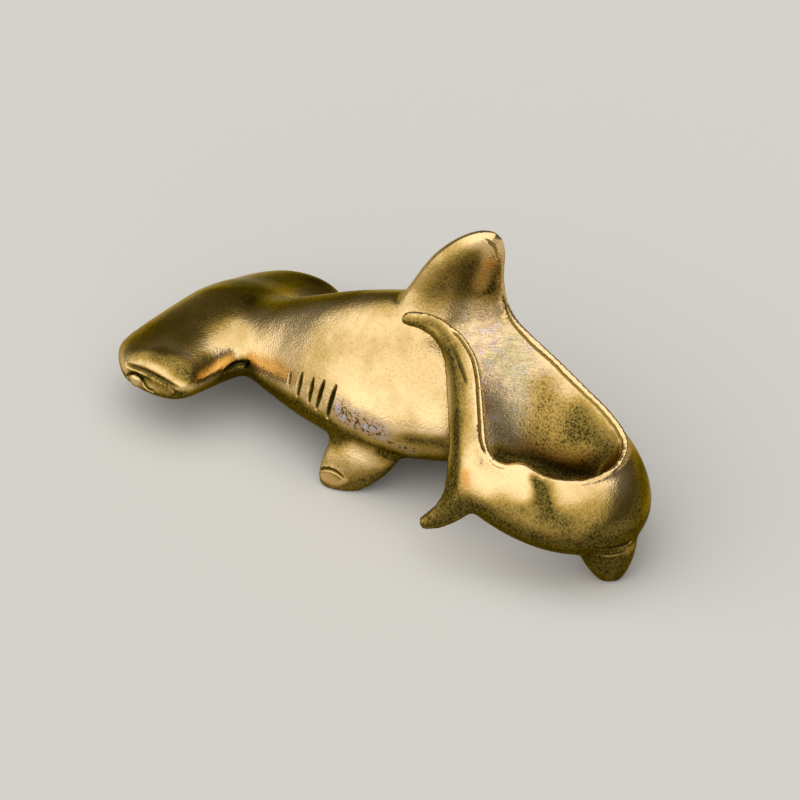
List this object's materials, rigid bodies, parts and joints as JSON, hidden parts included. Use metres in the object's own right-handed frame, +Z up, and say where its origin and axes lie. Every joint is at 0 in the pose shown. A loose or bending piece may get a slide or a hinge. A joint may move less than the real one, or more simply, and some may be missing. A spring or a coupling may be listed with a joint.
{
  "type": "shark figurine",
  "caption": "Solid cast brass hammerhead shark figurine with raised back rim and gill slits; its hooked tail comes back beside the body and it rests on its fin tips.",
  "frame": {"origin": "middle of the figurine's box, on the surface that it rests on", "axes": "+Z up; the shark swims to -X, its left side to -Y, its tail hook at +X"},
  "size_m": [0.049, 0.0452, 0.0252],
  "materials": {
    "cast_brass": "antique cast brass, brushed and tumbled, darkened in its hollows"
  },
  "bodies": {
    "root": {"shark": "cast_brass"}
  },
  "joints": []
}
